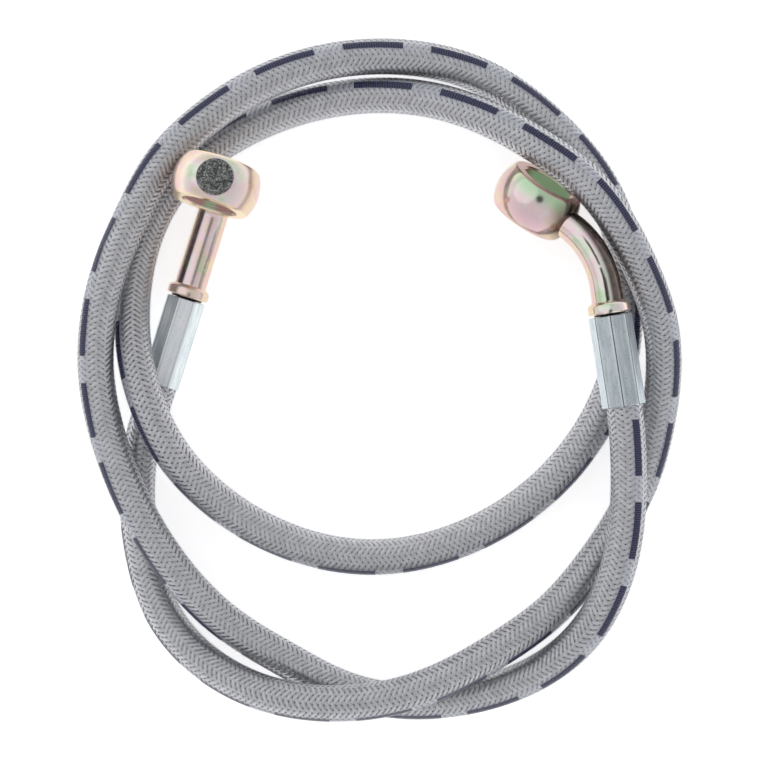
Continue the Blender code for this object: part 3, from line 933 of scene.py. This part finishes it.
def yellow_chromate(name, eye, root, bolt_axis, mouth, along, tones):
    """Chromate film in soft clouds of pink, green and gold, with painted reflections: dark streaks and a thin
    dark line on the side next the hose, a browner tone on the steep sides, and the tones in the bore; also
    painted shade at the neck and painted shadow below the collar.
    """
    material, tree = new_finish(name)
    where = tree.node("ShaderNodeTexCoord", None, None, "Object")
    from_eye = tree.vector("SUBTRACT", where, tuple(eye))
    height = tree.vector("DOT_PRODUCT", from_eye, tuple(root), output=1)
    through = tree.vector("DOT_PRODUCT", from_eye, tuple(bolt_axis), output=1)
    reach = tree.vector("LENGTH", from_eye, output=1)
    from_mouth = tree.vector("SUBTRACT", where, tuple(mouth))
    up_fitting = tree.vector("DOT_PRODUCT", from_mouth, tuple(along), output=1)
    facing = tree.node("ShaderNodeNewGeometry", None, None, "Normal")
    side = tree.vector("DOT_PRODUCT", facing, tones["hose_side"], output=1)
    steep = 1 - tree.node("ShaderNodeSeparateXYZ", None, {0: facing}, "Z")
    clouds = tree.noise(tree.vector("ADD", where, tones["cloud_shift"]), 150.0, 3.0)
    veil = tree.noise(where, 420.0, 2.0)
    film = tree.node("ShaderNodeValToRGB", {"stops": [
        (0.32, (0.62, 0.82, 0.54)),
        (0.43, (0.88, 0.88, 0.79)),
        (0.52, (0.96, 0.76, 0.80)),
        (0.62, (0.92, 0.76, 0.64)),
        (0.74, (0.58, 0.78, 0.50)),
    ]}, {"Fac": clouds})
    in_ball = reach < EYE_DIAMETER / 2 + 0.0002
    swing = in_ball * tones["ball_swing"]
    greener = (0 - through / EYE_THICKNESS).eased(0.05, 0.42) * swing
    pinker = (through / EYE_THICKNESS).eased(-0.15, 0.40) * swing
    film = tree.mixed(greener, film, (0.50, 0.76, 0.47))
    film = tree.mixed(pinker, film, (1.00, 0.66, 0.77))
    # Painted reflection: the steeper sides of pipe and ball get a browner tone, by the way that the surface
    # faces.
    rim = tree.mixed(veil.eased(0.35, 0.65), (0.76, 0.61, 0.42), (0.74, 0.52, 0.50))
    plate = tree.mixed(steep.eased(0.12, 0.50), film, rim)
    # Painted reflection: a dark band streaked along the pipe on the side next the hose.
    band_low, band_high, edge_low, edge_high = tones["reflection_band_limits"]
    on_pipe = (up_fitting > FERRULE_LENGTH + COLLAR_GAP + COLLAR_LENGTH + COLLAR_SHOULDER) * (1 - in_ball)
    painted_reflection_band = side.eased(band_low, band_high) * (1 - side.eased(edge_low, edge_high)) * on_pipe
    reflection_streaked = tree.mixed(painted_reflection_band * (0.75 + veil * 0.25), plate, tones["painted_dark_tone"])
    # Painted reflection: a thin dark line along the pipe, where the surface faces a given way.
    line = 1 - abs(side - tones["reflection_line_side"] + (veil - 0.5) * 0.08).eased(0.03, 0.10)
    line = line * veil.eased(0.30, 0.48) * reach.eased(EYE_DIAMETER * 0.72, EYE_DIAMETER * 0.86) * on_pipe
    with_painted_lines = tree.mixed(line * tones["reflection_line_strength"], reflection_streaked, (0.05, 0.03, 0.03))
    # Painted shade on the ball where it turns down to the neck, on the side next the hose.
    shade = (0 - height).eased(EYE_DIAMETER * 0.28, EYE_DIAMETER * 0.48) * side.eased(-0.2, 0.3) * in_ball
    with_painted_lines = tree.mixed(shade * tones["neck_shade"], with_painted_lines, tones["painted_dark_tone"])
    face = abs(through).eased(EYE_THICKNESS / 2 - EYE_EDGE, EYE_THICKNESS / 2 - EYE_EDGE / 2) * in_ball
    outside = tree.mixed(face, with_painted_lines, tones["face"])
    grain = tree.noise(where, 3200.0, 4.0, 0.7)
    scratches = tree.node("ShaderNodeTexNoise", None, {
        "Vector": where, "Scale": 650.0, "Detail": 6.0, "Roughness": 0.75, "Distortion": 1.2,
    })
    crown = height.eased(EYE_DIAMETER / 2 - CROWN_FLAT_DEPTH - 0.0001, EYE_DIAMETER / 2 - CROWN_FLAT_DEPTH)
    on_flat = crown * (reach < math.hypot(EYE_DIAMETER / 2 - CROWN_FLAT_DEPTH, CROWN_FLAT_RADIUS))
    mottled = tree.mixed(grain.eased(0.38, 0.62), (0.040, 0.058, 0.044), (0.170, 0.155, 0.165))
    scores = 1 - abs(scratches - 0.5).eased(0.003, 0.030)
    scored = tree.mixed(scores * grain.eased(0.30, 0.60) * 0.9, mottled, (0.80, 0.84, 0.80))
    outside = tree.mixed(on_flat, outside, scored)
    bore_reach = reach * reach - through * through
    in_bore = (bore_reach < (BOLT_BORE / 2 + 0.0001) ** 2) * in_ball
    marks = (through * (2 * math.pi / 0.0005)).sine() * 0.5 + 0.5
    # Painted reflection inside the bore: the wall is toned by the way it faces, from the bore tone to the
    # bore_patch tone.
    middle = 1 - abs(side - tones["bore_middle"]).eased(*tones["bore_spread"])
    bore_painted_reflection = tree.mixed(middle, tones["bore"], tones["bore_patch"])
    bored = tree.mixed(marks * tones["bore_marks"] + grain * 0.15, bore_painted_reflection, (0.20, 0.14, 0.12))
    bump = tree.node("ShaderNodeBump", None, {
        "Strength": 0.12, "Distance": 0.00004, "Height": grain * 0.5 + marks * in_bore,
    })
    # Painted shadow: the seat in the gap and everything below it, the neck and tail inside the ferrule, are
    # near-black.
    gap_painted_shadow = up_fitting < FERRULE_LENGTH + COLLAR_GAP * 0.9
    finished = tree.mixed(in_bore, outside, bored)
    surfaced(tree, {
        "Base Color": tree.mixed(gap_painted_shadow, finished, (0.015, 0.015, 0.015)),
        "Metallic": 1 - in_bore * 0.75,
        "Roughness": grain * 0.10 + on_flat * 0.35 + in_bore * 0.30 + tones["roughness"],
        "Normal": bump,
    })
    return material


def banjo(name, shape, place, tones):
    """The whole fitting: ball eye with its bore and crown flat, bent pipe, collar and neck."""
    line, eye, root = pipe_line(shape, COLLAR_SHOULDER, BOLT_BORE / 2 + PIPE_INTO_EYE)
    bolt_axis = Vector((root.z, 0, -root.x))
    side = bolt_axis.cross(root)
    at_eye = place @ Matrix.Translation(eye) @ Matrix((root, side, bolt_axis)).transposed().to_4x4()
    body = turned(name + "_plated", eye_outline(), EYE_SIDES, True, at_eye)
    widths = np.linspace(PIPE_DIAMETER, PIPE_ROOT_DIAMETER, len(line))
    combined(body, swept_bar(name + "_pipe", line, widths, PIPE_SIDES, place), "UNION")
    combined(body, turned(name + "_collar", collar_outline(), PIPE_SIDES, False, place), "UNION")
    passage = pipe_line(shape, FERRULE_LENGTH, BOLT_BORE / 4)[0]
    drill = swept_bar(name + "_drill", passage, [PASSAGE_DIAMETER] * len(passage), PASSAGE_SIDES, place)
    combined(body, drill, "DIFFERENCE")
    flat_height = EYE_DIAMETER / 2 - CROWN_FLAT_DEPTH
    drum = [(0, CROWN_TOOL_HEIGHT), (CROWN_TOOL_RADIUS, CROWN_TOOL_HEIGHT), (CROWN_TOOL_RADIUS, 0), (0, 0)]
    turn_to_root = Matrix((bolt_axis, side, root)).transposed().to_4x4()
    at_crown = place @ Matrix.Translation(eye + root * flat_height) @ turn_to_root
    combined(body, turned(name + "_crown", drum, PIPE_SIDES, False, at_crown), "DIFFERENCE")
    cleaned(body.data)
    body.data.shade_smooth()
    body.data.set_sharp_from_angle(angle=BANJO_SHARP_ANGLE)
    turn = place.to_3x3()
    body.data.materials.clear()
    body.data.materials.append(yellow_chromate(
        name + "_chromate", place @ eye, turn @ root, turn @ bolt_axis, place.translation, turn.col[2], tones,
    ))
    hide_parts(name)
    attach(body, "root")
    return body


# Each banjo's tones include painted light and shade: the dark reflection band and its tone, the painted
# reflection line, the painted neck shade and the bore's painted reflection tones.
banjo("left_banjo", LEFT_PIPE, left_place, {
    "hose_side": (-0.954, 0.300, 0.0),
    "cloud_shift": (0.0, 0.0, 0.0),
    "reflection_band_limits": (0.42, 0.52, 0.70, 0.80),
    "painted_dark_tone": (0.16, 0.10, 0.11),
    "reflection_line_side": -0.60,
    "reflection_line_strength": 0.5,
    "face": (0.86, 0.70, 0.46),
    "neck_shade": 0.0,
    "ball_swing": 0.15,
    "roughness": 0.20,
    "bore": (0.78, 0.50, 0.46),
    "bore_marks": 0.40,
    "bore_middle": -0.06,
    "bore_spread": (0.08, 0.34),
    "bore_patch": (0.66, 0.95, 0.60),
})
right_banjo = banjo("right_banjo", RIGHT_PIPE, right_place, {
    "hose_side": (0.935, 0.354, 0.0),
    "cloud_shift": (0.010, 0.004, 0.0),
    "reflection_band_limits": (0.08, 0.34, 2.0, 3.0),
    "painted_dark_tone": (0.055, 0.028, 0.024),
    "reflection_line_side": -0.10,
    "reflection_line_strength": 0.9,
    "face": (0.52, 0.30, 0.25),
    "neck_shade": 0.85,
    "ball_swing": 0.80,
    "roughness": 0.12,
    "bore": (0.70, 1.0, 0.64),
    "bore_marks": 0.08,
    "bore_middle": 0.95,
    "bore_spread": (0.38, 0.85),
    "bore_patch": (0.42, 0.22, 0.16),
})

# Floor and light: a plain pale table under a dome that is white at the horizon and dimmer overhead, a large
# weak lamp on the left, and a dark disc above the table that bright metal shows as a lens.
FLOOR_SIZE = 3.0
FLOOR_CORNERS = 48
FLOOR_GLOW = (0.62, 0.62, 0.62)
LENS_DIAMETER = 0.16
LENS_PLACE = (0.06, 0.03, 0.48)
LAMP_DIAMETER = 0.90
LAMP_POWER = 0.45
LAMP_PLACE = (-0.35, 0.30, 0.55)


def pale_table():
    material, tree = new_finish("pale_table")
    where = tree.node("ShaderNodeTexCoord", None, None, "Object")
    colour = tree.mixed(tree.noise(where, 12.0), (0.88, 0.88, 0.88), (0.90, 0.90, 0.90))
    path = tree.node("ShaderNodeLightPath")
    shown = path.of("Is Camera Ray").larger(path.of("Is Glossy Ray")).larger(path.of("Is Transmission Ray"))
    glow = tree.mixed(shown, (0, 0, 0), FLOOR_GLOW)
    surfaced(tree, {
        "Base Color": colour,
        "Roughness": 0.9,
        "Emission Color": glow,
        "Emission Strength": 1.0,
    })
    return material


def dark_lens():
    material, tree = new_finish("dark_lens")
    where = tree.node("ShaderNodeTexCoord", None, None, "Object")
    colour = tree.mixed(tree.noise(where, 30.0), (0.01, 0.01, 0.01), (0.02, 0.02, 0.02))
    surfaced(tree, {"Base Color": colour, "Roughness": 0.6})
    return material


def stage_plane(name, width, material):
    mesh = bpy.data.meshes.new(name)
    bm = bmesh.new()
    bmesh.ops.create_circle(bm, cap_ends=True, segments=FLOOR_CORNERS, radius=width / 2)
    bm.to_mesh(mesh)
    bm.free()
    mesh.materials.append(material)
    plane = new_piece(name, mesh)
    return plane


stage_plane("table", FLOOR_SIZE, pale_table())
lens = stage_plane("lens", LENS_DIAMETER, dark_lens())
lens.location = LENS_PLACE
lens.rotation_euler = Vector(LENS_PLACE).to_track_quat("Z", "Y").to_euler()
lens.visible_camera = False

world = bpy.data.worlds.new("soft_studio")
bpy.context.scene.world = world
world.use_nodes = True
world.node_tree.nodes.clear()
sky = Tree(world.node_tree)
direction = sky.node("ShaderNodeTexCoord", None, None, "Generated")
rise = sky.node("ShaderNodeSeparateXYZ", None, {0: direction}, "Z")
dome = sky.node("ShaderNodeValToRGB", {"stops": [
    (0.00, (1.0, 1.0, 1.0)),
    (0.50, (1.0, 1.0, 1.0)),
    (0.60, (0.76, 0.76, 0.78)),
    (0.80, (0.60, 0.60, 0.61)),
    (0.96, (0.60, 0.60, 0.61)),
]}, {"Fac": rise * 0.5 + 0.5})
path = sky.node("ShaderNodeLightPath")
backdrop = sky.mixed(path.of("Is Camera Ray"), dome, (1, 1, 1))
light = sky.node("ShaderNodeBackground", None, {"Color": backdrop, "Strength": 1.0})
sky.node("ShaderNodeOutputWorld", None, {"Surface": light})

lamp_data = bpy.data.lights.new("key_softbox", "AREA")
lamp_data.shape = "DISK"
lamp_data.size = LAMP_DIAMETER
lamp_data.energy = LAMP_POWER
lamp = bpy.data.objects.new("key_softbox", lamp_data)
lamp.location = LAMP_PLACE
lamp.rotation_euler = (-Vector(LAMP_PLACE)).to_track_quat("-Z", "Y").to_euler()
bpy.context.scene.collection.objects.link(lamp)

bpy.context.scene.view_settings.view_transform = "Standard"
